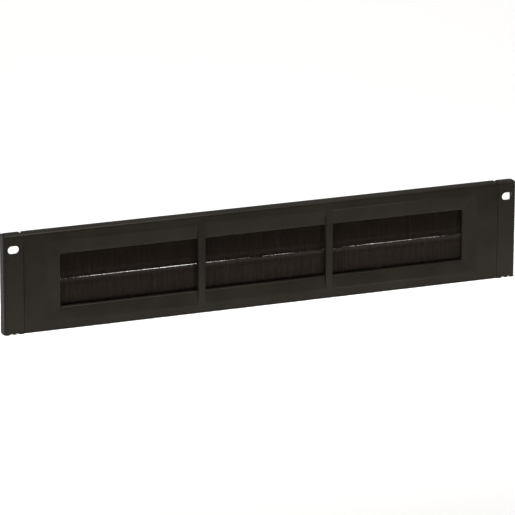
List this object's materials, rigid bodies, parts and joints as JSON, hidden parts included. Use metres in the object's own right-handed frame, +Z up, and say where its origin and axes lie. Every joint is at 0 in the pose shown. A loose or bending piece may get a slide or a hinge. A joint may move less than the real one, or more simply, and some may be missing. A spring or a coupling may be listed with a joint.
{
  "type": "rack cable pass-through panel",
  "caption": "Black two-unit rack panel with brush-filled windows in a shallow funnel bezel, so cables pass through and dust and air are held back.",
  "frame": {"origin": "halfway between the two rack slots, on the rear face of the ears", "axes": "+X along the panel to the right as seen from the front, +Y to the rear into the rack, +Z up"},
  "size_m": [0.4826, 0.012, 0.0881],
  "materials": {
    "black_abs": "fine moulded texture, satin black",
    "coated_steel": "satin black powder coat",
    "zinc_screw": "bright zinc plate",
    "holder_aluminium": "plain extruded",
    "strip_steel": "galvanised strip",
    "nylon_bristle": "black nylon filament"
  },
  "bodies": {
    "root": {"bezel": "black_abs", "ear_left": "coated_steel", "ear_right": "coated_steel", "ear_screws": "zinc_screw", "holder_upper": "holder_aluminium", "holder_lower": "holder_aluminium", "holder_screws": "zinc_screw", "channel_upper_left": "strip_steel", "channel_upper_right": "strip_steel", "channel_lower_left": "strip_steel", "channel_lower_right": "strip_steel", "core_wire_upper_left": "strip_steel", "core_wire_upper_right": "strip_steel", "core_wire_lower_left": "strip_steel", "core_wire_lower_right": "strip_steel", "bristles_upper_left": "nylon_bristle", "bristles_upper_right": "nylon_bristle", "bristles_lower_left": "nylon_bristle", "bristles_lower_right": "nylon_bristle"}
  },
  "joints": []
}
